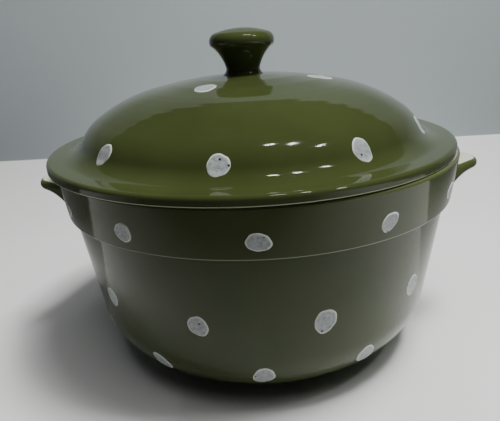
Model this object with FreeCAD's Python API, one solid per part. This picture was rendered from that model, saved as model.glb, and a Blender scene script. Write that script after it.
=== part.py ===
import FreeCAD, Part

import math
import os

from FreeCAD import Vector

# Covered casserole dish, millimetres, +Z up.
# Origin: centre of the circle that the foot stands on. +X runs through the two lugs.

# Driving dimensions
rim_radius = 104.0          # outside of the bowl's rim
rim_height = 106.0          # table to the top of the rim
lid_radius = 105.0          # outside of the lid's brim
dome_height = 38.0          # lid's lower edge to the top of its dome
knob_height = 22.7          # dome top to the top of the knob
lug_reach = 120.0           # bowl's axis to the tip of a lug
lift_play = 0.3             # air between the lid's seat and the rim, glaze on glaze
seat_shift = 2.8            # the loose lid rests this far off centre, towards -X
knob_shift = 1.8            # the knob was luted this far off the lid's centre, towards -X

# Bowl
collar_height = 22.4        # thick band below the rim
collar_foot_radius = rim_radius - 2.9
ledge_step = 2.7            # how far the collar stands out from the wall below it
wall_draft = 0.147          # loss of radius per millimetre of depth
wall = 6.0                  # thickness of the wall
floor_thickness = 7.0
belly_radius = 34.0         # round turn from the wall into the base
foot_height = 3.0
foot_inset = 0.8            # foot ring stands inside the end of the round turn
foot_width = 8.0
foot_round = 1.0
ledge_round = 0.8           # soft arris at the foot of the collar
rim_round = 1.0             # arris round the outside of the rim
edge_radius = 1.6           # soft arris inside the rim and on the spigot
overshoot = 1.0             # how far cutting shapes run past what they cut
gap_tolerance = 1e-6        # ends closer than this already meet

ledge_height = rim_height - collar_height
wall_radius = collar_foot_radius - ledge_step
inner_belly_radius = belly_radius - wall

# Lid, heights measured from its flat seat
brim_thickness = 4.4
brim_fillet = 11.0          # hollow turn from the brim up into the dome
brim_crest_round = 1.8      # soft arris round the top of the brim
brim_seat_round = 0.6       # crisp arris round its seat
dome_radius = 0.855 * lid_radius
shoulder_radius = 24.0      # tight turn at the foot of the dome
haunch_radius = 80.0        # easier turn from the shoulder into the crown
crown_radius = 230.0
lid_thickness = 6.0
spigot_depth = 9.0          # ring under the lid that drops inside the rim
spigot_radius = 91.2
spigot_draft = 1.0

# Knob, falls measured down from its top
knob_radius = 16.7
knob_widest_fall = 6.4
knob_shoulder_radius = 4.4  # tight turn round the edge of its shallow crown
knob_arris_radius = 0.96 * knob_radius
knob_arris_fall = 8.7
knob_arris_bow = 0.2        # how far each curve stands off a straight line
knob_neck_hollow = 1.1
knob_waist = 8.8
knob_waist_rise = 3.0       # height of the waist above the dome
knob_seat = 10.5            # spread of the knob where it meets the dome
knob_foot_hollow = 0.45
knob_root_depth = 2.0       # the knob's foot is luted this deep into the dome

# Lugs
lug_top = rim_height - 11.5
lug_thickness = 5.6
lug_tip_radius = 13.0
lug_root = rim_radius - 6   # lug's inner end, buried in the collar
lug_half_root = 25.0
lug_underside_hollow = 2.0
lug_round = 1.9

# White spots, raised dabs of thick slip
spot_radius = 5.3
spot_thickness = 0.3
spot_peg_reach = 3.0        # half the length of the peg that cuts a dab out of the skin
collar_spot_count = 12      # places all the way round, two of them taken by the lugs
side_spot_count = 11
base_spot_count = 11
lid_lower_spot_count = 9
lid_upper_spot_count = 3
collar_spot_height = ledge_height + 8.4
side_spot_height = 49.6
base_spot_turn = 27.0       # degrees round the belly, from the wall towards the base
lid_lower_spot_radius = 0.826 * lid_radius
lid_upper_spot_radius = 0.36 * lid_radius

# Turn of each row's first spot from the front of the dish, degrees
collar_spot_start = 0.0
side_spot_start = 16.0
base_spot_start = 0.0
lid_lower_spot_start = -7.5
lid_upper_spot_start = -32.0


def point(radius, height):
    return Vector(radius, 0, height)


def revolve(edges):
    """Solid of revolution about Z from a closed outline in the XZ plane."""
    face = Part.Face(Part.Wire(edges))
    return face.revolve(Vector(0, 0, 0), Vector(0, 0, 1), 360)


def line(start, end):
    return Part.makeLine(start, end)


def arc(start, middle, end):
    return Part.Arc(start, middle, end).toShape()


def bowed(start, end, bow):
    """Arc whose middle stands off its chord by bow, to the left of the way it runs."""
    along = end - start
    across = point(-along.z, along.x) / along.Length
    return arc(start, (start + end) / 2 + across * bow, end)


def quarter(centre, radius, from_angle, to_angle):
    """Arc in the XZ plane, angles in degrees up from +X."""
    def at(angle):
        turn = math.radians(angle)
        return centre + Vector(radius * math.cos(turn), 0, radius * math.sin(turn))
    return arc(at(from_angle), at((from_angle + to_angle) / 2), at(to_angle))


def chain(pieces):
    """Join arcs and lines end to start with straight runs, and close the outline."""
    edges = []
    for piece, following in zip(pieces, pieces[1:] + pieces[:1]):
        edges.append(piece)
        end = piece.Vertexes[-1].Point
        start = following.Vertexes[0].Point
        if end.distanceToPoint(start) > gap_tolerance:
            edges.append(line(end, start))
    return edges


def wall_radius_at(height):
    """Outside of the tapering wall below the collar."""
    return wall_radius - wall_draft * (ledge_height - height)


def belly_centre():
    """Centre of the round turn between the wall and the underside."""
    tilt = math.atan(wall_draft)
    height = foot_height + belly_radius
    return point(wall_radius_at(height) - belly_radius / math.cos(tilt), height)


def bowl_skin(grow):
    """Solid bowl shape without foot or hollow, swollen outwards by grow."""
    tilt = math.degrees(math.atan(wall_draft))
    belly = quarter(belly_centre(), belly_radius + grow, -90, -tilt)
    ledge_inside = point(wall_radius + grow, ledge_height - grow)
    ledge_edge = point(collar_foot_radius - ledge_round, ledge_height + ledge_round)
    ledge_turn = quarter(ledge_edge, ledge_round + grow, -90, 0)
    rim_edge = point(rim_radius - rim_round, rim_height - rim_round)
    rim_turn = quarter(rim_edge, rim_round + grow, 0, 90)
    axis = line(point(0, rim_height + grow), point(0, foot_height - grow))
    wall_end = line(belly.Vertexes[-1].Point, ledge_inside)
    return revolve(chain([belly, wall_end, ledge_turn, rim_turn, axis]))


def bowl_hollow():
    """Space inside the bowl, open at the rim."""
    tilt = math.degrees(math.atan(wall_draft))
    centre = belly_centre() + Vector(0, 0, floor_thickness - wall)
    belly = quarter(centre, inner_belly_radius, -90, -tilt)
    inner_rim = wall_radius_at(rim_height) - wall
    lip = point(inner_rim, rim_height - edge_radius)
    turn_centre = point(inner_rim + edge_radius, rim_height - edge_radius)
    lip_turn = quarter(turn_centre, edge_radius, 180, 90)
    rise = line(belly.Vertexes[-1].Point, lip)
    above = rim_height + overshoot
    mouth = line(point(inner_rim + edge_radius, above), point(0, above))
    floor = line(point(0, above), belly.Vertexes[0].Point - Vector(centre.x, 0, 0))
    return revolve(chain([belly, rise, lip_turn, mouth, floor]))


def foot_ring():
    outer = belly_centre().x - foot_inset
    outside = Part.makeCylinder(outer, foot_height + overshoot)
    inside = Part.makeCylinder(outer - foot_width, foot_height + overshoot)
    ring = outside.cut(inside)
    standing = [edge for edge in ring.Edges if edge.BoundBox.ZMax < foot_height / 2]
    return ring.makeFillet(foot_round, standing)


def make_bowl():
    return bowl_skin(0).fuse(foot_ring()).cut(bowl_hollow()).removeSplitter()


def is_outer_lug_edge(edge):
    """True for the edges round the free outline of a lug, top and bottom."""
    box = edge.BoundBox
    upright = box.ZLength > box.XLength + box.YLength
    return box.XMax > rim_radius and not upright


def lug_plan():
    """Ear shape seen from above, its sides tangent to the round tip."""
    tip_centre = Vector(lug_reach - lug_tip_radius, 0, 0)
    back_root = Vector(lug_root, lug_half_root, 0)
    front_root = Vector(lug_root, -lug_half_root, 0)
    to_root = back_root - tip_centre
    turn = math.atan2(to_root.y, to_root.x) - math.acos(lug_tip_radius / to_root.Length)
    back = tip_centre + Vector(math.cos(turn), math.sin(turn), 0) * lug_tip_radius
    front = Vector(back.x, -back.y, 0)
    outline = [
        arc(front, Vector(lug_reach, 0, 0), back),
        line(back, back_root),
        line(back_root, front_root),
        line(front_root, front),
    ]
    return Part.Face(Part.Wire(outline))


def lug_side_view():
    """Flat top and an underside swept down to the foot of the collar."""
    inside = point(lug_root, lug_top)
    outside = point(lug_reach + overshoot, lug_top)
    under_tip = outside - Vector(0, 0, lug_thickness)
    under_root = point(lug_root, ledge_height - overshoot)
    outline = [
        line(inside, outside),
        line(outside, under_tip),
        bowed(under_tip, under_root, -lug_underside_hollow),
        line(under_root, inside),
    ]
    return Part.Face(Part.Wire(outline))


def make_lug(side, bowl):
    """Ear-shaped tab on the collar; side is 1 for +X and -1 for -X."""
    breadth = 2 * lug_half_root
    slab = lug_side_view().extrude(Vector(0, breadth, 0))
    slab.translate(Vector(0, -breadth / 2, 0))
    lug = lug_plan().extrude(Vector(0, 0, rim_height)).common(slab)
    outer_edges = [edge for edge in lug.Edges if is_outer_lug_edge(edge)]
    lug = lug.makeFillet(lug_round, outer_edges)
    if side < 0:
        lug.rotate(Vector(0, 0, 0), Vector(0, 0, 1), 180)
    return lug.cut(bowl)


def shoulder_centre():
    return point(dome_radius - shoulder_radius, 0)


def crown_centre():
    return point(0, dome_height - crown_radius)


def haunch_centre():
    """Centre of the middle arc, tangent inside to both the shoulder and the crown."""
    to_shoulder = haunch_radius - shoulder_radius
    to_crown = crown_radius - haunch_radius
    apart = crown_centre() - shoulder_centre()
    along = (to_shoulder ** 2 - to_crown ** 2 + apart.Length ** 2) / (2 * apart.Length)
    aside = math.sqrt(to_shoulder ** 2 - along ** 2)
    ahead = apart / apart.Length
    return shoulder_centre() + ahead * along + point(ahead.z, -ahead.x) * aside


def steepness(direction):
    return math.degrees(math.atan2(direction.z, direction.x))


def dome_turns():
    """Centre, radius and upper end of each of the dome's arcs, from the shoulder to the axis."""
    haunch_start = steepness(shoulder_centre() - haunch_centre())
    crown_start = steepness(haunch_centre() - crown_centre())
    return [
        (shoulder_centre(), shoulder_radius, haunch_start),
        (haunch_centre(), haunch_radius, crown_start),
        (crown_centre(), crown_radius, 90),
    ]


def dome_arcs(grow, foot_angle):
    """The dome's arcs from its foot up to the lid's axis, swollen outwards by grow."""
    arcs = []
    start = foot_angle
    for centre, radius, end in dome_turns():
        arcs.append(quarter(centre, radius + grow, start, end))
        start = end
    return arcs


def dome_point_and_normal(distance):
    """Point on the dome at a distance from the lid's axis, and the way its surface faces there."""
    for centre, radius, end in dome_turns():
        if distance >= centre.x + radius * math.cos(math.radians(end)):
            break
    share = (distance - centre.x) / radius
    normal = point(share, math.sqrt(1 - share * share))
    return centre + normal * radius, normal


def brim_hollow_centre():
    """Centre of the hollow turn that is tangent to the brim's top and the dome's shoulder."""
    height = brim_thickness + brim_fillet
    reach = math.sqrt((shoulder_radius + brim_fillet) ** 2 - height ** 2)
    return shoulder_centre() + point(reach, height)


def lid_skin(grow):
    """Solid lid shape above its flat seat, swollen outwards by grow."""
    foot_angle = steepness(brim_hollow_centre() - shoulder_centre())
    dome = dome_arcs(grow, foot_angle)
    hollow = quarter(brim_hollow_centre(), brim_fillet - grow, 270, 180 + foot_angle)
    crest_centre = point(lid_radius - brim_crest_round, brim_thickness - brim_crest_round)
    crest = quarter(crest_centre, brim_crest_round + grow, 0, 90)
    seat_centre = point(lid_radius - brim_seat_round, brim_seat_round)
    seat_turn = quarter(seat_centre, brim_seat_round + grow, -90, 0)
    axis = line(dome[-1].Vertexes[-1].Point, point(0, -grow))
    return revolve(chain([seat_turn, crest, hollow] + dome + [axis]))


def lid_hollow():
    """Space under the dome, down through the spigot ring."""
    dome = dome_arcs(-lid_thickness, 0)
    mouth_radius = dome[0].Vertexes[0].Point.x
    below = -spigot_depth - overshoot
    axis = line(dome[-1].Vertexes[-1].Point, point(0, below))
    mouth = line(point(0, below), point(mouth_radius, below))
    return revolve(chain(dome + [axis, mouth]))


def spigot():
    """Ring under the lid that keeps it on the bowl."""
    top = point(spigot_radius, overshoot)
    low = point(spigot_radius - spigot_draft, edge_radius - spigot_depth)
    turn = quarter(low - Vector(edge_radius, 0, 0), edge_radius, 0, -90)
    axis = line(point(0, -spigot_depth), point(0, overshoot))
    return revolve(chain([line(top, low), turn, axis]))


def place_on_rim(shape):
    shape.translate(Vector(-seat_shift, 0, rim_height + lift_play))
    return shape


def make_lid():
    return lid_skin(0).fuse(spigot()).cut(lid_hollow()).removeSplitter()


def knob_cap(top):
    """Tight shoulder and the shallow crown tangent to it, from the knob's widest up to its axis."""
    inset = knob_radius - knob_shoulder_radius
    gap = knob_widest_fall - knob_shoulder_radius
    crown = (inset ** 2 + knob_widest_fall ** 2 - knob_shoulder_radius ** 2) / (2 * gap)
    shoulder_middle = point(inset, top - knob_widest_fall)
    crown_middle = point(0, top - crown)
    join = steepness(shoulder_middle - crown_middle)
    return [quarter(shoulder_middle, knob_shoulder_radius, 0, join), quarter(crown_middle, crown, join, 90)]


def make_knob(lid):
    """Mushroom knob, its foot spread on the dome."""
    top = dome_height + knob_height
    widest = point(knob_radius, top - knob_widest_fall)
    arris = point(knob_arris_radius, top - knob_arris_fall)
    waist = point(knob_waist, dome_height + knob_waist_rise)
    seat, _ = dome_point_and_normal(knob_seat)
    root = line(point(0, dome_height - knob_root_depth), point(knob_seat, dome_height - knob_root_depth))
    foot = bowed(seat, waist, knob_foot_hollow)
    neck = bowed(waist, arris, knob_neck_hollow)
    edge = bowed(arris, widest, -knob_arris_bow)
    knob = revolve(chain([root, foot, neck, edge] + knob_cap(top)))
    knob.translate(Vector(-knob_shift, 0, 0))
    return knob.cut(lid)


def spot_row(skin, centre, normal, turns):
    """Equal round dabs cut out of a thin skin, each turned about the axis by its angle."""
    dabs = []
    for turn in turns:
        peg = Part.makeCylinder(spot_radius, 2 * spot_peg_reach, centre - normal * spot_peg_reach, normal)
        peg.rotate(Vector(0, 0, 0), Vector(0, 0, 1), turn)
        dabs.extend(skin.common(peg).Solids)
    return Part.makeCompound(dabs)


def even_turns(count, start):
    """Evenly pitched angles about Z for a row whose start is counted from the front."""
    return [start + index * 360 / count - 90 for index in range(count)]


def is_clear_of_lugs(turn):
    """True where a spot on the collar doesn't fall on either lug."""
    return collar_foot_radius * abs(math.sin(math.radians(turn))) > lug_half_root + spot_radius


def bowl_spot_rows():
    """Three rows of spots on the outside of the bowl; the lugs take two places in the top row."""
    skin = bowl_skin(spot_thickness).cut(bowl_skin(0))
    tilt = math.atan(wall_draft)
    wall_normal = point(math.cos(tilt), -math.sin(tilt))
    turn = math.radians(base_spot_turn)
    belly_normal = point(math.cos(turn), -math.sin(turn))
    collar_centre = point(collar_foot_radius, collar_spot_height)
    side_centre = point(wall_radius_at(side_spot_height), side_spot_height)
    belly_spot = belly_centre() + belly_normal * belly_radius
    collar_turns = filter(is_clear_of_lugs, even_turns(collar_spot_count, collar_spot_start))
    side_turns = even_turns(side_spot_count, side_spot_start)
    base_turns = even_turns(base_spot_count, base_spot_start)
    return {
        "collar_spots": spot_row(skin, collar_centre, point(1, 0), collar_turns),
        "side_spots": spot_row(skin, side_centre, wall_normal, side_turns),
        "base_spots": spot_row(skin, belly_spot, belly_normal, base_turns),
    }


def lid_spot_rows():
    """Two rows of spots on the dome."""
    skin = lid_skin(spot_thickness).cut(lid_skin(0))

    def row(radius, count, start):
        centre, normal = dome_point_and_normal(radius)
        return spot_row(skin, centre, normal, even_turns(count, start))

    return {
        "lid_lower_spots": row(lid_lower_spot_radius, lid_lower_spot_count, lid_lower_spot_start),
        "lid_upper_spots": row(lid_upper_spot_radius, lid_upper_spot_count, lid_upper_spot_start),
    }


def make_parts():
    bowl = make_bowl()
    lid = make_lid()
    parts = {
        "bowl": bowl,
        "left_lug": make_lug(-1, bowl),
        "right_lug": make_lug(1, bowl),
    }
    parts.update(bowl_spot_rows())
    lid_parts = {"lid": lid, "knob": make_knob(lid)}
    lid_parts.update(lid_spot_rows())
    for name, shape in lid_parts.items():
        parts[name] = place_on_rim(shape)
    return parts


os.makedirs("parts", exist_ok=True)
for name, shape in make_parts().items():
    shape.exportStep("parts/" + name + ".step")
    box = shape.BoundBox
    print(name, "solids", len(shape.Solids), "valid", shape.isValid(),
          "volume", round(shape.Volume, 1), "z", round(box.ZMin, 2), round(box.ZMax, 2))
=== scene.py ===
import math
import random

import bpy
from mathutils import Matrix, Vector
from mathutils.bvhtree import BVHTree


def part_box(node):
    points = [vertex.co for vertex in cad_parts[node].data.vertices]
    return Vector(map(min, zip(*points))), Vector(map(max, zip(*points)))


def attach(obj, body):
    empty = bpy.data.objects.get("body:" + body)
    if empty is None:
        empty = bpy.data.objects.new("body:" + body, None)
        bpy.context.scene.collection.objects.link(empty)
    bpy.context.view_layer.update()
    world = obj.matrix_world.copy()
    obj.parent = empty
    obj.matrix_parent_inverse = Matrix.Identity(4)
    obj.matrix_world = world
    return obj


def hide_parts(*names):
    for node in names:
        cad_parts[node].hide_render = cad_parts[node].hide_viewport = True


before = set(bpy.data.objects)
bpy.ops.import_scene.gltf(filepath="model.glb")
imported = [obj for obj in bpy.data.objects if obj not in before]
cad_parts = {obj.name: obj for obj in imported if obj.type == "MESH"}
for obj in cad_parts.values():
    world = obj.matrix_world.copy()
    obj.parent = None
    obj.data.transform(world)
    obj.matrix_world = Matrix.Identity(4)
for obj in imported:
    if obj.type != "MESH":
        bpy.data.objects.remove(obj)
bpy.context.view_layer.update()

MM = 0.001

# Places of the frame's parts
_, bowl_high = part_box("bowl")
lid_low, lid_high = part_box("lid")
knob_low, knob_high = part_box("knob")
_, lug_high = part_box("right_lug")

RIM_RADIUS = bowl_high.x
RIM_HEIGHT = bowl_high.z
LID_RADIUS = (lid_high.x - lid_low.x) / 2
LID_AXIS = Vector(((lid_low.x + lid_high.x) / 2, 0, 0))
KNOB_AXIS = Vector(((knob_low.x + knob_high.x) / 2, 0, 0))
BOWL_AXIS = Vector((0, 0, 0))

# Bowl, metres
LEDGE_HEIGHT = RIM_HEIGHT - 22.4 * MM
COLLAR_FOOT_RADIUS = RIM_RADIUS - 2.9 * MM
WALL_RADIUS = COLLAR_FOOT_RADIUS - 2.7 * MM
WALL_DRAFT = 0.147
WALL = 6 * MM
FLOOR = 7 * MM
BELLY = 34 * MM
FOOT_HEIGHT = 3 * MM
FOOT_INSET = 0.8 * MM
FOOT_WIDTH = 8 * MM
EDGE = 1.6 * MM
RIM_ROUND = 1.3 * MM
LEDGE_ROUND = 0.9 * MM
LEDGE_HOLLOW = 1.2 * MM
FOOT_ROUND = 1 * MM
FOOT_ROOT_ROUND = 1.2 * MM
FOOT_NOTCH_ROUND = 0.5 * MM

# Lid, heights from its seat
SPIGOT_DEPTH = 9 * MM
SEAT = lid_low.z + SPIGOT_DEPTH
DOME_HEIGHT = lid_high.z - SEAT
DOME_RADIUS = 0.855 * LID_RADIUS
SHOULDER = 24 * MM
HAUNCH = 80 * MM
CROWN = 230 * MM
BRIM = 4.4 * MM
BRIM_HOLLOW = 11 * MM
BRIM_CREST_ROUND = 1.8 * MM
BRIM_SEAT_ROUND = 0.6 * MM
LID_WALL = 6 * MM
SPIGOT_RADIUS = 91.2 * MM
SPIGOT_DRAFT = 1 * MM
SPIGOT_ROOT_ROUND = 0.8 * MM

# Knob, falls measured down from its top
KNOB_TOP = knob_high.z
KNOB_RADIUS = (knob_high.x - knob_low.x) / 2
KNOB_WIDEST_FALL = 6.4 * MM
KNOB_SHOULDER = 4.4 * MM
KNOB_ARRIS_RADIUS = 0.965 * KNOB_RADIUS
KNOB_ARRIS_FALL = 8.7 * MM
KNOB_WAIST = 8.8 * MM
KNOB_WAIST_RISE = 3 * MM
KNOB_FOOT_SPREAD = 1.7 * MM

KNOB_FOOT_HOLLOW = 0.5 * MM
KNOB_NECK_HOLLOW = 1.1 * MM
KNOB_EDGE_SWELL = 0.2 * MM
KNOB_ROOT = 2 * MM

# Lugs
LUG_TOP = lug_high.z
LUG_REACH = lug_high.x
LUG_THICKNESS = 5.6 * MM
LUG_TIP = 13 * MM
LUG_ROOT = RIM_RADIUS - 6 * MM
LUG_HALF_ROOT = 25 * MM
LUG_ROUND = 2.6 * MM
LUG_FILLET = 3.5 * MM
LUG_TOP_FLARE = 0.7
LUG_UNDER_FLARE = 0.4
LUG_SWEEP_POWER = 2.6
LUG_SWELL = 0.3 * MM
LUG_BELOW_TOP = 0.1 * MM
LUG_BELOW_LEDGE = 1 * MM
LUG_FLAT_SHARES = (0.0, 0.15, 0.3, 0.45, 0.6, 0.72, 0.82, 0.9, 0.96)
LUG_ROUND_STEPS = 8
LUG_SIDE_STEPS = 22
LUG_TIP_STEPS = 64

# Dabs of slip, sizes as width and height, turns in degrees from the front towards +X
DAB_THICKNESS = 0.3 * MM
DAB_SUNK = 0.05 * MM
DAB_STAND_OFF = 12 * MM
DAB_DISH_SHARE = 0.62
DAB_DISH_HEIGHT = 0.62
DAB_FALL_SHARE = 0.86
DAB_RIM_TURN = 1.15
DAB_LEAN = 0.4
DAB_RINGS = 13
DAB_SPOKES = 56
DAB_SEED = 7
COLLAR_DAB_HEIGHT = LEDGE_HEIGHT + 8.4 * MM
COLLAR_DAB_SIZE = (9.6 * MM, 8.6 * MM)
COLLAR_DAB_TURNS = (0, 30, 60, 120, 150, 180, 210, 240, 300, 327)
SIDE_DAB_HEIGHT = 49.6 * MM
SIDE_DAB_SIZE = (9.9 * MM, 11.4 * MM)
BASE_DAB_TURN = math.radians(27)
BASE_DAB_SIZE = (9.9 * MM, 13 * MM)
LOWER_DAB_RADIUS = 0.826 * LID_RADIUS
LOWER_DAB_SIZE = (10.2 * MM, 11 * MM)
UPPER_DAB_RADIUS = 0.36 * LID_RADIUS
UPPER_DAB_SIZE = (11.4 * MM, 11.4 * MM)
UPPER_DAB_TURNS = (-30, 80, 205)

# Meshes
SEGMENTS = 320
SPACING = 1.6 * MM
ARC_STEP = math.radians(4)
ON_AXIS = 0.001 * MM
OUTLINE_BEND_LIMIT = 2.0
WAVE_LIMIT = 2.2
UNEVENNESS = 0.0005

# Colours
OLIVE = (0.054, 0.069, 0.021)
OLIVE_DEEP = (0.045, 0.057, 0.016)
OLIVE_PALE = (0.061, 0.078, 0.025)
# Pale colour of thin glaze on arrises, made bright enough to be a painted highlight along the edges as well
OLIVE_THIN_AND_HIGHLIGHT = (0.52, 0.56, 0.36)
OLIVE_POOL = (0.035, 0.042, 0.010)
OLIVE_SPECK = (0.04, 0.047, 0.013)
# Painted light and painted shade: one olive glaze, made lighter on the upright bowl and its lugs and darker
# on the up-facing lid and knob, for how light falls on them
BODY_GLAZE_PAINTED_LIGHT = 1.2
LID_GLAZE_PAINTED_SHADE = 0.82
GLAZE_IOR = 1.46
SLIP = (0.47, 0.505, 0.505)
SLIP_DARK = (0.31, 0.335, 0.335)
SLIP_PALE = (0.63, 0.67, 0.67)
SLIP_RIM = (0.80, 0.83, 0.76)
PINHOLE = (0.012, 0.014, 0.008)
# Painted light and painted shade: one white slip, made lighter on the bowl's dabs and darker on the lid's
# dabs, for how light falls on them
BODY_SLIP_PAINTED_LIGHT = 1.15
LID_SLIP_PAINTED_SHADE = 0.68
CREAM = (0.62, 0.60, 0.48)
CREAM_DEEP = (0.56, 0.53, 0.42)
CREAM_SPECK = (0.30, 0.24, 0.14)
CLAY = (0.58, 0.49, 0.37)
CLAY_DEEP = (0.47, 0.38, 0.27)
CLAY_GRAIN = (0.30, 0.23, 0.15)
FLOOR_COLOUR = (0.76, 0.76, 0.75)
WALL_COLOUR = (0.36, 0.40, 0.41)
WALL_SHADE = (0.02, 0.02, 0.02)
WALL_SHADE_SHARE = 0.42
# Black of the cards, painted shade seen only in reflections and bounced light
CARD_BLACK = (0.01, 0.01, 0.01)
ROOM_COLOUR = (0.85, 0.9, 0.95)

# Stage
WALL_BACK = 4.5 * LID_RADIUS
WALL_TOP = 5.6 * LID_RADIUS
WALL_YAW = math.radians(1.0)
STAGE_HALF_WIDTH = 14 * LID_RADIUS
CARD_REACH = 5.4 * LID_RADIUS
CARD_FADE_START = 3.4 * LID_RADIUS
CARD_DENSITY = 0.9

# Lights, metres and watts
LAMP_AIMS = ((0.14, -0.21, 0.97), (0.31, -0.20, 0.93), (0.54, -0.25, 0.81))
LAMP_DISTANCE = 1.3
LAMP_SIZE = (0.10, 0.04)
LAMP_WATTS = 1.2
KEY_PLACE = (0.36, -0.12, 1.3)
KEY_SIZE = (0.35, 0.35)
KEY_WATTS = 20
FILL_PLACE = (0.2, -0.3, 1.6)
FILL_SIZE = (1.3, 1.3)
FILL_WATTS = 11
ROOM_STRENGTH = 0.03

# Camera, height from the lid's seat, angles in radians
CAMERA_DISTANCE = 2.659 * LID_RADIUS
CAMERA_HEIGHT = 0.573 * LID_RADIUS
CAMERA_YAW = -0.0183
CAMERA_PITCH = 0.3376
CAMERA_ROLL = 0.0553
SENSOR_WIDTH = 36
FOCAL_IN_WIDTHS = 1.04


# Outlines, points (radius, height) that run anticlockwise round the clay

def arc_points(centre, radius, start, end):
    """Points along an arc, angles in radians up from outwards."""
    count = max(3, math.ceil(abs(end - start) / ARC_STEP))
    points = []
    for index in range(count + 1):
        turn = start + (end - start) * index / count
        points.append(Vector((centre[0] + radius * math.cos(turn), centre[1] + radius * math.sin(turn))))
    return points


def bowed(start, end, bow):
    """Points along an arc whose middle stands off its chord by bow, to the right of the way it runs."""
    start = Vector(start)
    end = Vector(end)
    along = end - start
    across = Vector((along.y, -along.x)).normalized()
    radius = (along.length ** 2 / 4 + bow ** 2) / (2 * bow)
    centre = (start + end) / 2 + across * (bow - radius)
    first = start - centre
    last = end - centre
    swing = math.atan2(first.cross(last), first.dot(last))
    begin = math.atan2(first.y, first.x)
    return arc_points(centre, abs(radius), begin, begin + swing)


def fillet(corner, before, after, radius):
    """Arc of that radius that turns the corner between two neighbouring points."""
    corner = Vector(corner)
    back = (Vector(before) - corner).normalized()
    ahead = (Vector(after) - corner).normalized()
    half = back.angle(ahead) / 2
    middle = (back + ahead).normalized()
    centre = corner + middle * (radius / math.sin(half))
    run = radius / math.tan(half)
    first = corner + back * run - centre
    last = corner + ahead * run - centre
    swing = math.atan2(first.cross(last), first.dot(last))
    begin = math.atan2(first.y, first.x)
    return arc_points(centre, radius, begin, begin + swing)


def spaced(outline):
    """The same outline with its long runs divided."""
    points = [Vector(outline[0])]
    for end in outline[1:]:
        start = points[-1]
        end = Vector(end)
        gap = (end - start).length
        if gap < 1e-7:
            continue
        count = math.ceil(gap / SPACING)
        for index in range(1, count + 1):
            points.append(start.lerp(end, index / count))
    return points


def wall_radius_at(height):
    return WALL_RADIUS - WALL_DRAFT * (LEDGE_HEIGHT - height)


def belly_centre():
    """Radius and height of the centre of the round that joins wall and foot."""
    height = FOOT_HEIGHT + BELLY
    return wall_radius_at(height) - BELLY / math.cos(math.atan(WALL_DRAFT)), height


def bowl_outlines():
    """Foot, outside from the foot to the rim, and inside from the rim to the middle of the floor."""
    tilt = math.atan(WALL_DRAFT)
    belly_radius, belly_height = belly_centre()
    foot_outer = belly_radius - FOOT_INSET
    foot_inner = foot_outer - FOOT_WIDTH
    base = (0, FOOT_HEIGHT)
    foot = [
        (foot_inner, FOOT_HEIGHT),
        (foot_inner, 0),
        (foot_outer, 0),
        (foot_outer, FOOT_HEIGHT),
        (belly_radius, FOOT_HEIGHT),
    ]
    belly = arc_points((belly_radius, belly_height), BELLY, -math.pi / 2, -tilt)
    ledge = [
        (WALL_RADIUS, LEDGE_HEIGHT),
        (COLLAR_FOOT_RADIUS, LEDGE_HEIGHT),
        (RIM_RADIUS, RIM_HEIGHT),
        (wall_radius_at(RIM_HEIGHT) - WALL, RIM_HEIGHT),
    ]
    inner_belly = BELLY - WALL
    inner_height = belly_height + FLOOR - WALL
    inside_belly = arc_points((belly_radius, inner_height), inner_belly, -tilt, -math.pi / 2)
    underside = (
        [base]
        + fillet(foot[0], base, foot[1], FOOT_ROOT_ROUND)
        + fillet(foot[1], foot[0], foot[2], FOOT_ROUND)
    )
    standing = fillet(foot[2], foot[1], foot[3], FOOT_ROUND)
    outside = (
        fillet(foot[3], foot[2], foot[4], FOOT_NOTCH_ROUND)
        + belly
        + fillet(ledge[0], belly[-1], ledge[1], LEDGE_HOLLOW)
        + fillet(ledge[1], ledge[0], ledge[2], LEDGE_ROUND)
        + fillet(ledge[2], ledge[1], ledge[3], RIM_ROUND)
    )
    inside = fillet(ledge[3], ledge[2], inside_belly[0], EDGE) + inside_belly + [(0, FOOT_HEIGHT + FLOOR)]
    return [("clay", underside + standing), ("green", outside), ("cream", inside)]


def steepness(direction):
    return math.atan2(direction.y, direction.x)


def dome_turns():
    """Centre, radius and upper end of each of the dome's arcs, from the shoulder to the axis."""
    shoulder = Vector((DOME_RADIUS - SHOULDER, SEAT))
    crown = Vector((0, SEAT + DOME_HEIGHT - CROWN))
    apart = crown - shoulder
    along = ((HAUNCH - SHOULDER) ** 2 - (CROWN - HAUNCH) ** 2 + apart.length_squared) / (2 * apart.length)
    aside = math.sqrt((HAUNCH - SHOULDER) ** 2 - along ** 2)
    ahead = apart.normalized()
    haunch = shoulder + ahead * along + Vector((ahead.y, -ahead.x)) * aside
    return [
        (shoulder, SHOULDER, steepness(shoulder - haunch)),
        (haunch, HAUNCH, steepness(haunch - crown)),
        (crown, CROWN, math.pi / 2),
    ]


def dome_outline(grow, foot_turn):
    """The dome's arcs from its foot to the axis, swollen outwards by grow."""
    points = []
    start = foot_turn
    for centre, radius, end in dome_turns():
        points = points[:-1] + arc_points(centre, radius + grow, start, end)
        start = end
    return points


def dome_place(distance):
    """Height and outward tilt of the dome at a distance from the lid's axis."""
    for centre, radius, end in dome_turns():
        if distance >= centre.x + radius * math.cos(end):
            break
    tilt = math.acos((distance - centre.x) / radius)
    return centre.y + radius * math.sin(tilt), tilt


def knob_cap():
    """Tight shoulder and the shallow crown tangent to it, from the knob's widest up to its axis."""
    inset = KNOB_RADIUS - KNOB_SHOULDER
    rise_beyond = KNOB_WIDEST_FALL - KNOB_SHOULDER
    crown = (inset ** 2 + KNOB_WIDEST_FALL ** 2 - KNOB_SHOULDER ** 2) / (2 * rise_beyond)
    shoulder_middle = Vector((inset, KNOB_TOP - KNOB_WIDEST_FALL))
    crown_middle = Vector((0, KNOB_TOP - crown))
    join = steepness(shoulder_middle - crown_middle)
    rise = arc_points(shoulder_middle, KNOB_SHOULDER, 0, join)
    return rise + arc_points(crown_middle, crown, join, math.pi / 2)[1:]


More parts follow.
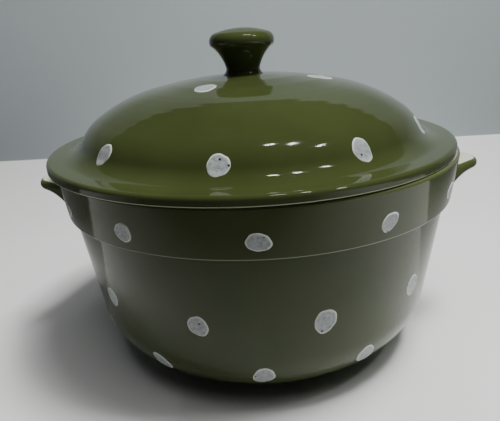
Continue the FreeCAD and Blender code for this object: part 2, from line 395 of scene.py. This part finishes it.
def lid_outlines():
    """Underside, spigot and seat, then brim and dome."""
    shoulder = dome_turns()[0][0]
    hollow_height = BRIM + BRIM_HOLLOW
    hollow_reach = math.sqrt((SHOULDER + BRIM_HOLLOW) ** 2 - hollow_height ** 2)
    hollow_centre = shoulder + Vector((hollow_reach, hollow_height))
    foot_turn = math.atan2(hollow_height, hollow_reach)
    under_dome = dome_outline(-LID_WALL, 0)[::-1]
    mouth_radius = under_dome[-1].x
    low = SEAT - SPIGOT_DEPTH
    spigot = [
        (mouth_radius, low),
        (SPIGOT_RADIUS - SPIGOT_DRAFT, low),
        (SPIGOT_RADIUS, SEAT),
        (LID_RADIUS, SEAT),
    ]
    underside = under_dome + fillet(spigot[0], under_dome[-1], spigot[1], EDGE)
    bare = (
        fillet(spigot[1], spigot[0], spigot[2], EDGE)
        + fillet(spigot[2], spigot[1], spigot[3], SPIGOT_ROOT_ROUND)
        + [Vector((LID_RADIUS - 2 * BRIM_SEAT_ROUND, SEAT))]
    )
    crest = (LID_RADIUS, SEAT + BRIM)
    hollow = arc_points(hollow_centre, BRIM_HOLLOW, math.pi * 3 / 2, math.pi + foot_turn)
    outside = (
        fillet(spigot[3], spigot[2], crest, BRIM_SEAT_ROUND)
        + fillet(crest, spigot[3], hollow[0], BRIM_CREST_ROUND)
        + hollow
        + dome_outline(0, foot_turn)[1:]
    )
    return [("cream", underside), ("clay", bare), ("lid_green", outside)]


def knob_outline():
    """Mushroom knob, its foot flowing out onto the dome."""
    dome_top = SEAT + DOME_HEIGHT
    cap = knob_cap()
    arris = (KNOB_ARRIS_RADIUS, KNOB_TOP - KNOB_ARRIS_FALL)
    waist = (KNOB_WAIST, dome_top + KNOB_WAIST_RISE)
    spread = KNOB_WAIST + KNOB_FOOT_SPREAD
    seat = Vector((spread, dome_top - spread ** 2 / (2 * CROWN)))
    root = dome_top - KNOB_ROOT
    foot = bowed(seat, waist, -KNOB_FOOT_HOLLOW)
    neck = bowed(waist, arris, -KNOB_NECK_HOLLOW)
    edge = bowed(arris, cap[0], KNOB_EDGE_SWELL)
    hidden = [Vector((0, root)), Vector((spread, root))]
    return [("lid_green", hidden + foot + neck[1:] + edge[1:] + cap[1:])]


# Meshes

def wobble(place):
    """Slight unevenness of a hand-finished pot, always inwards."""
    turn = math.atan2(place.y, place.x)
    wave = math.sin(2 * turn + 0.7)
    wave += 0.6 * math.sin(3 * turn + 2.1 + 9 * place.z)
    wave += 0.5 * math.sin(5 * turn - 11 * place.z)
    return 1 - (WAVE_LIMIT + wave) * UNEVENNESS


def curvature(outline):
    """Signed turn per metre at each point, positive on convex edges."""
    values = [0.0]
    for before, here, after in zip(outline, outline[1:], outline[2:]):
        arriving = here - before
        leaving = after - here
        turn = math.atan2(arriving.cross(leaving), arriving.dot(leaving))
        values.append(2 * turn / (arriving.length + leaving.length))
    values.append(0.0)
    return values


def smoothed(values, rounds):
    for _ in range(rounds):
        inner = [(a + 2 * b + c) / 4 for a, b, c in zip(values, values[1:], values[2:])]
        values = values[:1] + inner + values[-1:]
    return values


def joined_outline(outlines):
    """One run of closely spaced points, and the finish of each stretch between two of them."""
    outline = []
    finishes = []
    for finish, points in outlines:
        joined = spaced(outline[-1:] + points)
        outline.extend(joined[1:] if outline else joined)
        finishes.extend([finish] * (len(outline) - 1 - len(finishes)))
    return outline, finishes


def band_faces(lower, upper):
    """Faces between two rings, either of which may be a single point on the axis."""
    faces = []
    for step in range(SEGMENTS):
        following = (step + 1) % SEGMENTS
        if len(lower) == 1:
            faces.append((lower[0], upper[following], upper[step]))
        elif len(upper) == 1:
            faces.append((lower[step], lower[following], upper[0]))
        else:
            faces.append((lower[step], lower[following], upper[following], upper[step]))
    return faces


def turned(name, outlines, axis, materials):
    """Pot thrown about an upright axis. Each point stores how sharply the outline bends there,
    because glaze runs thin on an arris and pools in a hollow, and the pale arris colour is also a painted
    highlight."""
    outline, finishes = joined_outline(outlines)
    vertices = []
    rings = []
    outline_bend = []
    for here, curve in zip(outline, smoothed(curvature(outline), 2)):
        count = 1 if here.x < ON_AXIS else SEGMENTS
        rings.append(range(len(vertices), len(vertices) + count))
        for index in range(count):
            turn = 2 * math.pi * index / SEGMENTS
            place = Vector((here.x * math.cos(turn), here.x * math.sin(turn), here.y))
            factor = wobble(place)
            vertices.append((axis.x + place.x * factor, axis.y + place.y * factor, place.z))
            outline_bend.append(max(-OUTLINE_BEND_LIMIT, min(OUTLINE_BEND_LIMIT, curve * MM)))
    faces = []
    slots = []
    for finish, lower, upper in zip(finishes, rings, rings[1:]):
        band = band_faces(lower, upper)
        faces.extend(band)
        slots.extend([finish] * len(band))
    return finished_mesh(name, vertices, faces, slots, materials, {"outline_bend": outline_bend})


def finished_mesh(name, vertices, faces, slots, materials, attributes):
    """Smooth-shaded object with its materials by name and its point attributes."""
    mesh = bpy.data.meshes.new(name)
    mesh.from_pydata([tuple(v) for v in vertices], [], faces)
    used = sorted(set(slots))
    for key in used:
        mesh.materials.append(materials[key])
    mesh.polygons.foreach_set("material_index", [used.index(key) for key in slots])
    mesh.polygons.foreach_set("use_smooth", [True] * len(faces))
    for key, values in attributes.items():
        layer = mesh.attributes.new(key, "FLOAT", "POINT")
        layer.data.foreach_set("value", values)
    mesh.update()
    piece = bpy.data.objects.new(name, mesh)
    bpy.context.scene.collection.objects.link(piece)
    return piece


def collar_radius_at(height):
    share = (height - LEDGE_HEIGHT) / (RIM_HEIGHT - LEDGE_HEIGHT)
    return COLLAR_FOOT_RADIUS + (RIM_RADIUS - COLLAR_FOOT_RADIUS) * share


def lug_plan(inset):
    """Ear-shaped outline seen from above, drawn in by inset, from the front root round to the back."""
    tip = Vector((LUG_REACH - LUG_TIP, 0))
    root = Vector((LUG_ROOT, LUG_HALF_ROOT))
    to_root = root - tip
    turn = math.atan2(to_root.y, to_root.x) - math.acos(LUG_TIP / to_root.length)
    side = Vector((math.cos(turn), math.sin(turn)))
    touch = tip + side * LUG_TIP
    points = []
    for index in range(LUG_SIDE_STEPS):
        place = root.lerp(touch, index / LUG_SIDE_STEPS) - side * inset
        points.append(Vector((place.x, -place.y)))
    for index in range(LUG_TIP_STEPS + 1):
        angle = -turn + 2 * turn * index / LUG_TIP_STEPS
        points.append(tip + Vector((math.cos(angle), math.sin(angle))) * (LUG_TIP - inset))
    for index in range(1, LUG_SIDE_STEPS + 1):
        points.append(touch.lerp(root, index / LUG_SIDE_STEPS) - side * inset)
    return points


def lug_underside(x):
    """Height of the hollow sweep from the lug's tip to the foot of the collar."""
    reach = max(0.0, (LUG_REACH - x) / (LUG_REACH - LUG_ROOT))
    low = LEDGE_HEIGHT - LUG_BELOW_LEDGE
    high = LUG_TOP - LUG_THICKNESS
    return high + (low - high) * reach ** LUG_SWEEP_POWER + LUG_SWELL * math.sin(math.pi * reach)


def lug_flare(x, y, height):
    """How far the surface spreads up or down as it meets the collar."""
    gap = math.hypot(x, y) - collar_radius_at(height)
    reach = max(0.0, LUG_FILLET - max(gap, 0.0))
    return LUG_FILLET - math.sqrt(max(0.0, LUG_FILLET ** 2 - reach ** 2))


def lug_shells():
    """Rings over the lug's skin, each a share of the way out or round, from its top to its underside."""
    turning = [index / LUG_ROUND_STEPS for index in range(LUG_ROUND_STEPS + 1)]
    shells = [("top", share) for share in LUG_FLAT_SHARES]
    shells += [("over", share) for share in turning]
    shells += [("under", share) for share in turning]
    shells += [("bottom", share) for share in reversed(LUG_FLAT_SHARES)]
    return shells


def lug_inset_and_drop(kind, share):
    """How far a ring is drawn in and dropped by the round of the lug's edge."""
    turn = share * math.pi / 2
    if kind == "over":
        return LUG_ROUND * (1 - math.sin(turn)), LUG_ROUND * (1 - math.cos(turn))
    if kind == "under":
        return LUG_ROUND * (1 - math.cos(turn)), LUG_ROUND * (1 - math.sin(turn))
    return LUG_ROUND, 0.0


def make_lug(name, side, materials):
    """Hand-pressed ear on the collar; side is 1 for +X and -1 for -X."""
    vertices = []
    rings = []
    middle = Vector((LUG_ROOT, 0))
    top = LUG_TOP - LUG_BELOW_TOP
    for kind, share in lug_shells():
        inset, drop = lug_inset_and_drop(kind, share)
        ring = []
        for place in lug_plan(inset):
            if kind in ("top", "bottom"):
                place = middle.lerp(place, share)
            if kind in ("top", "over"):
                height = top - drop + lug_flare(place.x, place.y, top) * LUG_TOP_FLARE
            else:
                flare = lug_flare(place.x, place.y, LEDGE_HEIGHT) * LUG_UNDER_FLARE
                height = lug_underside(place.x) + drop - flare
            ring.append(len(vertices))
            vertices.append((place.x * side, place.y * side, height))
        rings.append(ring)
    faces = []
    for upper, lower in zip(rings, rings[1:]):
        for index in range(len(upper)):
            following = (index + 1) % len(upper)
            faces.append((upper[index], lower[index], lower[following], upper[following]))
    slots = ["lug"] * len(faces)
    return finished_mesh(name, vertices, faces, slots, materials, {"outline_bend": [0.0] * len(vertices)})


# Dabs

def surface_of(piece):
    mesh = piece.data
    return BVHTree.FromPolygons([v.co for v in mesh.vertices], [p.vertices for p in mesh.polygons])


def dab_outline(turn, phase):
    """How far a dab's hand-made outline stands off a true oval."""
    uneven = 1 + 0.045 * math.sin(2 * turn + phase[0]) + 0.035 * math.sin(3 * turn + phase[1])
    uneven += 0.014 * math.sin(5 * turn + phase[2]) + 0.012 * math.sin(8 * turn + phase[3])
    return uneven


def dab_lift(share, edge):
    """Height off the glaze: a dished middle, a raised rim and a round fall at the outline."""
    swell = DAB_DISH_HEIGHT + (1 - DAB_DISH_HEIGHT) * math.sin(math.pi * min(1.0, edge * DAB_RIM_TURN))
    outer = max(0.0, (share - DAB_FALL_SHARE) / (1 - DAB_FALL_SHARE))
    return DAB_THICKNESS * (swell * math.sqrt(max(0.0, 1 - outer ** 2)))


def dab_faces(base):
    """Faces of one dab, whose middle vertex is base."""
    faces = []
    for spoke in range(DAB_SPOKES):
        following = (spoke + 1) % DAB_SPOKES
        faces.append((base, base + 1 + spoke, base + 1 + following))
        for ring in range(DAB_RINGS - 1):
            inner = base + 1 + ring * DAB_SPOKES
            outer = inner + DAB_SPOKES
            faces.append((inner + spoke, outer + spoke, outer + following, inner + following))
    return faces


def dab_row(name, surface, places, draw, finish, materials):
    """One row of hand-set dabs. A place is a point outside the pot, the way it looks and a size."""
    vertices = []
    faces = []
    rims = []
    for start, towards, width, height in places:
        phase = [draw.uniform(0, 2 * math.pi) for _ in range(4)]
        # Each dab takes seven numbers: four phases, a lean and two spares
        draw.random()
        lean = DAB_LEAN * draw.uniform(-0.5, 0.5)
        draw.random()
        across = Vector((0, 0, 1)).cross(towards).normalized()
        upward = towards.cross(across).normalized()
        faces.extend(dab_faces(len(vertices)))
        for ring in range(DAB_RINGS + 1):
            share = ring / DAB_RINGS
            edge = max(0.0, (share - DAB_DISH_SHARE) / (1 - DAB_DISH_SHARE))
            lift = dab_lift(share, edge) - (DAB_SUNK if ring == DAB_RINGS else 0)
            for spoke in range(DAB_SPOKES if ring else 1):
                turn = 2 * math.pi * spoke / DAB_SPOKES
                reach = dab_outline(turn, phase) * share
                sideways = width / 2 * reach * math.cos(turn + lean)
                climb = height / 2 * reach * math.sin(turn)
                hit, normal, _, _ = surface.ray_cast(start + across * sideways + upward * climb, towards)
                vertices.append(hit + normal * lift)
                rims.append(edge)
    slots = [finish] * len(faces)
    return finished_mesh(name, vertices, faces, slots, materials, {"rim": rims})


def row_places(axis, radius, height, tilt, turns, draw, dab_size):
    """Starting points round a pot, angles from the front towards +X, looking inwards with a downward tilt."""
    width, tallness = dab_size
    places = []
    for turn in turns:
        angle = math.radians(turn + draw.uniform(-1.2, 1.2) - 90)
        outward = Vector((math.cos(angle) * math.cos(tilt), math.sin(angle) * math.cos(tilt), math.sin(tilt)))
        flat = Vector((math.cos(angle), math.sin(angle), 0))
        spot = Vector((axis.x, axis.y, height + draw.uniform(-0.6, 0.6) * MM)) + flat * radius
        size = draw.uniform(0.93, 1.08)
        start = spot + outward * DAB_STAND_OFF
        places.append((start, -outward, width * size, tallness * size * draw.uniform(0.93, 1.07)))
    return places


def even_turns(count, start):
    return [start + 360 * index / count for index in range(count)]


# Materials

def nodes_of(material):
    material.use_nodes = True
    tree = material.node_tree
    shader = tree.nodes["Principled BSDF"]
    return tree, shader


def add_noise(tree, coordinates, scale, detail=3.0, roughness=0.5):
    node = tree.nodes.new("ShaderNodeTexNoise")
    node.inputs["Scale"].default_value = scale
    node.inputs["Detail"].default_value = detail
    node.inputs["Roughness"].default_value = roughness
    tree.links.new(coordinates, node.inputs["Vector"])
    return node.outputs["Fac"]


def add_ramp(tree, value, stops):
    """Colour ramp through (position, colour) stops."""
    node = tree.nodes.new("ShaderNodeValToRGB")
    ramp = node.color_ramp
    while len(ramp.elements) < len(stops):
        ramp.elements.new(0.5)
    for element, (position, colour) in zip(ramp.elements, stops):
        element.position = position
        element.color = (*colour, 1)
    tree.links.new(value, node.inputs["Fac"])
    return node.outputs["Color"]


def add_mix(tree, factor, first, second):
    node = tree.nodes.new("ShaderNodeMix")
    node.data_type = "RGBA"
    values = {"Factor": factor, "A": first, "B": second}
    for key, value in values.items():
        socket = node.inputs[key]
        if isinstance(value, bpy.types.NodeSocket):
            tree.links.new(value, socket)
        else:
            socket.default_value = (*value, 1)
    return node.outputs["Result"]


def add_range(tree, value, low, high, to_low=0.0, to_high=1.0):
    node = tree.nodes.new("ShaderNodeMapRange")
    node.inputs["From Min"].default_value = low
    node.inputs["From Max"].default_value = high
    node.inputs["To Min"].default_value = to_low
    node.inputs["To Max"].default_value = to_high
    tree.links.new(value, node.inputs["Value"])
    return node.outputs["Result"]


def add_attribute(tree, name):
    node = tree.nodes.new("ShaderNodeAttribute")
    node.attribute_name = name
    return node.outputs["Fac"]


def add_coordinates(tree):
    return tree.nodes.new("ShaderNodeTexCoord").outputs["Object"]


def add_bumps(tree, shader, layers):
    """Bump from (height, distance, strength) layers, coarse first."""
    normal = None
    for height, distance, strength in layers:
        node = tree.nodes.new("ShaderNodeBump")
        node.inputs["Distance"].default_value = distance
        node.inputs["Strength"].default_value = strength
        tree.links.new(height, node.inputs["Height"])
        if normal is not None:
            tree.links.new(normal, node.inputs["Normal"])
        normal = node.outputs["Normal"]
    tree.links.new(normal, shader.inputs["Normal"])


def add_upward(tree):
    """How far the surface faces up, from -1 to 1."""
    facing = tree.nodes.new("ShaderNodeSeparateXYZ")
    normal = tree.nodes.new("ShaderNodeTexCoord")
    tree.links.new(normal.outputs["Normal"], facing.inputs["Vector"])
    return facing.outputs["Z"]


def toned(colour, brightness):
    return tuple(channel * brightness for channel in colour)


def green_glaze(name, brightness, cream_top=False):
    """Glossy olive earthenware glaze, thin and pale on arrises, deeper where it pools. The pale arris colour
    is also a painted highlight.
    """
    material = bpy.data.materials.new(name)
    tree, shader = nodes_of(material)
    place = add_coordinates(tree)
    cloud = add_noise(tree, place, scale=22, detail=4)
    # brightness paints light on the bowl's glaze and shade on the lid's glaze
    shades = [(0.32, toned(OLIVE_DEEP, brightness)), (0.55, toned(OLIVE, brightness)), (0.75, toned(OLIVE_PALE, brightness))]
    colour = add_ramp(tree, cloud, shades)
    speck = add_noise(tree, place, scale=900, detail=2, roughness=0.6)
    colour = add_mix(tree, add_range(tree, speck, 0.66, 0.74, to_high=0.35), colour, OLIVE_SPECK)
    outline_bend = add_attribute(tree, "outline_bend")
    # Pale on convex arrises: thin glaze and a painted highlight line
    colour = add_mix(tree, add_range(tree, outline_bend, 0.75, 1.4, to_high=0.85), colour, OLIVE_THIN_AND_HIGHLIGHT)
    colour = add_mix(tree, add_range(tree, outline_bend, -0.05, -0.45, to_high=0.6), colour, OLIVE_POOL)
    if cream_top:
        colour = add_mix(tree, add_range(tree, add_upward(tree), 0.90, 0.98), colour, CREAM)
    tree.links.new(colour, shader.inputs["Base Color"])
    smear = add_noise(tree, place, scale=35, detail=3)
    tree.links.new(add_range(tree, smear, 0.3, 0.7, 0.05, 0.11), shader.inputs["Roughness"])
    shader.inputs["IOR"].default_value = GLAZE_IOR
    swell = add_noise(tree, place, scale=45, detail=1)
    pore = add_noise(tree, place, scale=420, detail=2)
    add_bumps(tree, shader, [(swell, 0.6 * MM, 0.10), (pore, 0.04 * MM, 0.4)])
    return material


def cream_glaze():
    """Shiny cream glaze of the inside."""
    material = bpy.data.materials.new("cream_glaze")
    tree, shader = nodes_of(material)
    place = add_coordinates(tree)
    cloud = add_noise(tree, place, scale=30, detail=4)
    colour = add_ramp(tree, cloud, [(0.3, CREAM_DEEP), (0.7, CREAM)])
    speck = add_noise(tree, place, scale=700, detail=1)
    colour = add_mix(tree, add_range(tree, speck, 0.70, 0.78, to_high=0.5), colour, CREAM_SPECK)
    tree.links.new(colour, shader.inputs["Base Color"])
    tree.links.new(add_range(tree, cloud, 0.3, 0.7, 0.10, 0.18), shader.inputs["Roughness"])
    pore = add_noise(tree, place, scale=300, detail=2)
    add_bumps(tree, shader, [(cloud, 0.5 * MM, 0.3), (pore, 0.04 * MM, 0.5)])
    return material


def bare_clay():
    """Unglazed biscuit of the foot and the lid's seat."""
    material = bpy.data.materials.new("bare_clay")
    tree, shader = nodes_of(material)
    place = add_coordinates(tree)
    cloud = add_noise(tree, place, scale=40, detail=5, roughness=0.65)
    grain = add_noise(tree, place, scale=1400, detail=2)
    colour = add_ramp(tree, cloud, [(0.3, CLAY_DEEP), (0.7, CLAY)])
    colour = add_mix(tree, add_range(tree, grain, 0.6, 0.8, to_high=0.6), colour, CLAY_GRAIN)
    tree.links.new(colour, shader.inputs["Base Color"])
    tree.links.new(add_range(tree, grain, 0.3, 0.7, 0.75, 0.9), shader.inputs["Roughness"])
    add_bumps(tree, shader, [(grain, 0.2 * MM, 0.6)])
    return material


def dab_slip(name, brightness):
    """White slip, brighter at its raised rim, mottled grey inside, with a few pinholes."""
    material = bpy.data.materials.new(name)
    tree, shader = nodes_of(material)
    place = add_coordinates(tree)
    mottle = add_noise(tree, place, scale=700, detail=4, roughness=0.6)
    patch = add_noise(tree, place, scale=150, detail=2)
    # brightness paints light on the bowl's dabs and shade on the lid's dabs
    shades = [(0.32, toned(SLIP_DARK, brightness)), (0.50, toned(SLIP, brightness)), (0.72, toned(SLIP_PALE, brightness))]
    colour = add_ramp(tree, mottle, shades)
    colour = add_mix(tree, add_range(tree, patch, 0.35, 0.7, to_high=0.35), colour, toned(SLIP_DARK, brightness))
    rim_mask = add_range(tree, add_attribute(tree, "rim"), 0.45, 0.75, to_high=0.9)
    colour = add_mix(tree, rim_mask, colour, toned(SLIP_RIM, brightness))
    cells = tree.nodes.new("ShaderNodeTexVoronoi")
    cells.inputs["Scale"].default_value = 230
    tree.links.new(place, cells.inputs["Vector"])
    hole = add_range(tree, cells.outputs["Distance"], 0.10, 0.14, 1.0, 0.0)
    colour = add_mix(tree, hole, colour, PINHOLE)
    tree.links.new(colour, shader.inputs["Base Color"])
    tree.links.new(add_range(tree, mottle, 0.3, 0.7, 0.28, 0.5), shader.inputs["Roughness"])
    add_bumps(tree, shader, [(mottle, 0.15 * MM, 0.5)])
    return material


def matt_material(name, colour, roughness, shaded_heights=None):
    """Matt paint or cloth with faint clouds, falling into shade between two heights if they are given."""
    material = bpy.data.materials.new(name)
    tree, shader = nodes_of(material)
    cloud = add_noise(tree, add_coordinates(tree), scale=6, detail=3)
    surface = add_ramp(tree, cloud, [(0.3, colour), (0.7, toned(colour, 1.05))])
    if shaded_heights:
        height = tree.nodes.new("ShaderNodeSeparateXYZ")
        tree.links.new(add_coordinates(tree), height.inputs["Vector"])
        shade = add_range(tree, height.outputs["Z"], *shaded_heights, to_high=WALL_SHADE_SHARE)
        surface = add_mix(tree, shade, surface, WALL_SHADE)
    tree.links.new(surface, shader.inputs["Base Color"])
    shader.inputs["Roughness"].default_value = roughness
    shader.inputs["Specular IOR Level"].default_value = 0.2
    return material


def card_material():
    """Black card that fades out towards its edge, painted shade for the dark surroundings seen in the glaze.
    """
    material = bpy.data.materials.new("black_card")
    tree, shader = nodes_of(material)
    shader.inputs["Base Color"].default_value = (*CARD_BLACK, 1)
    length = tree.nodes.new("ShaderNodeVectorMath")
    length.operation = "LENGTH"
    tree.links.new(add_coordinates(tree), length.inputs[0])
    fade = add_range(tree, length.outputs["Value"], CARD_FADE_START, CARD_REACH, CARD_DENSITY, 0.0)
    tree.links.new(fade, shader.inputs["Alpha"])
    return material


# Stage, lights, camera

def flat_panel(name, corners, material):
    mesh = bpy.data.meshes.new(name)
    mesh.from_pydata(corners, [], [tuple(range(len(corners)))])
    mesh.materials.append(material)
    panel = bpy.data.objects.new(name, mesh)
    bpy.context.scene.collection.objects.link(panel)
    return panel


def make_card(name, across, back, material):
    """Card on the table outside the picture, placed in lid radii, that keeps the pale floor out of
    the glaze's reflections. Only reflections and bounced light see it: painted shade for the dark
    surroundings of the dish."""
    corners = [(x * CARD_REACH, y * CARD_REACH, 0) for x, y in ((-1, -1), (1, -1), (1, 1), (-1, 1))]
    card = flat_panel(name, corners, material)
    card.location = (across * LID_RADIUS, back * LID_RADIUS, 1 * MM)
    card.visible_camera = False
    card.visible_shadow = False


def make_stage():
    """Pale floor, a grey wall behind it and the black cards, which are painted shade in the reflections."""
    floor_cloth = matt_material("floor_cloth", FLOOR_COLOUR, 0.85)
    wall_paint = matt_material("wall_grey", WALL_COLOUR, 0.9, (2.0 * LID_RADIUS, 3.2 * LID_RADIUS))
    slant = STAGE_HALF_WIDTH * math.sin(WALL_YAW)
    left = (-STAGE_HALF_WIDTH, WALL_BACK - slant)
    right = (STAGE_HALF_WIDTH, WALL_BACK + slant)
    front_left = (-STAGE_HALF_WIDTH, -STAGE_HALF_WIDTH, 0)
    front_right = (STAGE_HALF_WIDTH, -STAGE_HALF_WIDTH, 0)
    flat_panel("floor", [front_left, front_right, (*right, 0), (*left, 0)], floor_cloth)
    flat_panel("wall", [(*left, 0), (*right, 0), (*right, WALL_TOP), (*left, WALL_TOP)], wall_paint)
    card = card_material()
    make_card("card_front", -1.2, -5.4, card)
    make_card("card_left", -5.8, 1.2, card)
    make_card("card_right", 6.3, 0.8, card)


def add_softbox(name, place, target, size, watts):
    """Oblong lamp that looks at its target."""
    light = bpy.data.lights.new(name, "AREA")
    light.shape = "RECTANGLE"
    light.size = size[0]
    light.size_y = size[1]
    light.energy = watts
    lamp = bpy.data.objects.new(name, light)
    lamp.location = place
    lamp.rotation_euler = (Vector(target) - Vector(place)).to_track_quat("-Z", "Y").to_euler()
    bpy.context.scene.collection.objects.link(lamp)
    return lamp


def make_lights():
    """Row of small lamps overhead, whose images show in the glaze, and soft light from above."""
    centre = Vector((0, 0, RIM_HEIGHT))
    for index, aim in enumerate(LAMP_AIMS):
        place = centre + Vector(aim) * LAMP_DISTANCE
        add_softbox("lamp_" + str(index), place, centre, LAMP_SIZE, LAMP_WATTS)
    key = add_softbox("key", KEY_PLACE, centre, KEY_SIZE, KEY_WATTS)
    fill = add_softbox("fill", FILL_PLACE, centre, FILL_SIZE, FILL_WATTS)
    for lamp in (key, fill):
        lamp.visible_glossy = False
    world = bpy.data.worlds.new("room")
    bpy.context.scene.world = world
    world.use_nodes = True
    background = world.node_tree.nodes["Background"]
    background.inputs["Color"].default_value = (*ROOM_COLOUR, 1)
    background.inputs["Strength"].default_value = ROOM_STRENGTH


def make_camera():
    """Camera in front of the dish, tilted down and slightly rolled."""
    right = Vector((math.cos(CAMERA_YAW), -math.sin(CAMERA_YAW), 0))
    level = math.cos(CAMERA_PITCH)
    ahead = Vector((math.sin(CAMERA_YAW) * level, math.cos(CAMERA_YAW) * level, -math.sin(CAMERA_PITCH)))
    up = right.cross(ahead)
    across = right * math.cos(CAMERA_ROLL) - up * math.sin(CAMERA_ROLL)
    above = right * math.sin(CAMERA_ROLL) + up * math.cos(CAMERA_ROLL)
    data = bpy.data.cameras.new("camera")
    data.sensor_width = SENSOR_WIDTH
    data.lens = FOCAL_IN_WIDTHS * SENSOR_WIDTH
    data.clip_start = 10 * MM
    camera = bpy.data.objects.new("camera", data)
    bpy.context.scene.collection.objects.link(camera)
    place = Vector((0, -CAMERA_DISTANCE, SEAT + CAMERA_HEIGHT))
    camera.matrix_world = Matrix.Translation(place) @ Matrix((across, above, -ahead)).transposed().to_4x4()
    bpy.context.scene.camera = camera


def place_in_frame(piece, body, node):
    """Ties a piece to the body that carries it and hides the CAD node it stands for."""
    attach(piece, body)
    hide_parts(node)


def make_materials():
    """Every finish of the dish by the name that the outlines use."""
    return {
        # The bowl's glaze and slip are brightened as painted light, the lid's darkened as painted shade
        "green": green_glaze("olive_glaze", BODY_GLAZE_PAINTED_LIGHT),
        "lid_green": green_glaze("lid_olive_glaze", LID_GLAZE_PAINTED_SHADE),
        "lug": green_glaze("lug_glaze", BODY_GLAZE_PAINTED_LIGHT, cream_top=True),
        "cream": cream_glaze(),
        "clay": bare_clay(),
        "dab": dab_slip("body_slip", BODY_SLIP_PAINTED_LIGHT),
        "lid_dab": dab_slip("lid_slip", LID_SLIP_PAINTED_SHADE),
    }


def bowl_dab_places(draw):
    """Places of the three rows on the bowl."""
    belly_radius, belly_height = belly_centre()
    side_radius = wall_radius_at(SIDE_DAB_HEIGHT)
    side_tilt = -math.atan(WALL_DRAFT)
    base_radius = belly_radius + BELLY * math.cos(BASE_DAB_TURN)
    base_height = belly_height - BELLY * math.sin(BASE_DAB_TURN)
    collar = row_places(
        BOWL_AXIS, COLLAR_FOOT_RADIUS, COLLAR_DAB_HEIGHT, 0, COLLAR_DAB_TURNS, draw, COLLAR_DAB_SIZE)
    side = row_places(
        BOWL_AXIS, side_radius, SIDE_DAB_HEIGHT, side_tilt, even_turns(11, 16), draw, SIDE_DAB_SIZE)
    base = row_places(
        BOWL_AXIS, base_radius, base_height, -BASE_DAB_TURN, even_turns(11, 0), draw, BASE_DAB_SIZE)
    return [
        ("collar_dabs", "collar_spots", collar),
        ("side_dabs", "side_spots", side),
        ("base_dabs", "base_spots", base),
    ]


def lid_dab_places(draw):
    """Places of the two rows on the lid."""
    lower_height, lower_tilt = dome_place(LOWER_DAB_RADIUS)
    upper_height, upper_tilt = dome_place(UPPER_DAB_RADIUS)
    lower = row_places(
        LID_AXIS, LOWER_DAB_RADIUS, lower_height, lower_tilt, even_turns(9, -7.5), draw, LOWER_DAB_SIZE)
    upper = row_places(
        LID_AXIS, UPPER_DAB_RADIUS, upper_height, upper_tilt, UPPER_DAB_TURNS, draw, UPPER_DAB_SIZE)
    return [
        ("lid_lower_dabs", "lid_lower_spots", lower),
        ("lid_upper_dabs", "lid_upper_spots", upper),
    ]


def make_dabs(bowl, lid, materials):
    """Every row of dabs, laid on the finished skins of the bowl and the lid."""
    draw = random.Random(DAB_SEED)
    bowl_rows = bowl_dab_places(draw)
    lid_rows = lid_dab_places(draw)
    for pot, body, finish, rows in ((bowl, "bowl", "dab", bowl_rows), (lid, "lid", "lid_dab", lid_rows)):
        skin = surface_of(pot)
        for name, node, places in rows:
            dabs = dab_row(name, skin, places, draw, finish, materials)
            place_in_frame(dabs, body, node)


def build():
    make_camera()
    make_stage()
    make_lights()
    materials = make_materials()
    bowl = turned("casserole_bowl", bowl_outlines(), BOWL_AXIS, materials)
    lid = turned("casserole_lid", lid_outlines(), LID_AXIS, materials)
    knob = turned("lid_knob", knob_outline(), KNOB_AXIS, materials)
    right = make_lug("ear_right", 1, materials)
    left = make_lug("ear_left", -1, materials)
    make_dabs(bowl, lid, materials)
    place_in_frame(bowl, "bowl", "bowl")
    place_in_frame(right, "bowl", "right_lug")
    place_in_frame(left, "bowl", "left_lug")
    place_in_frame(lid, "lid", "lid")
    place_in_frame(knob, "lid", "knob")


build()
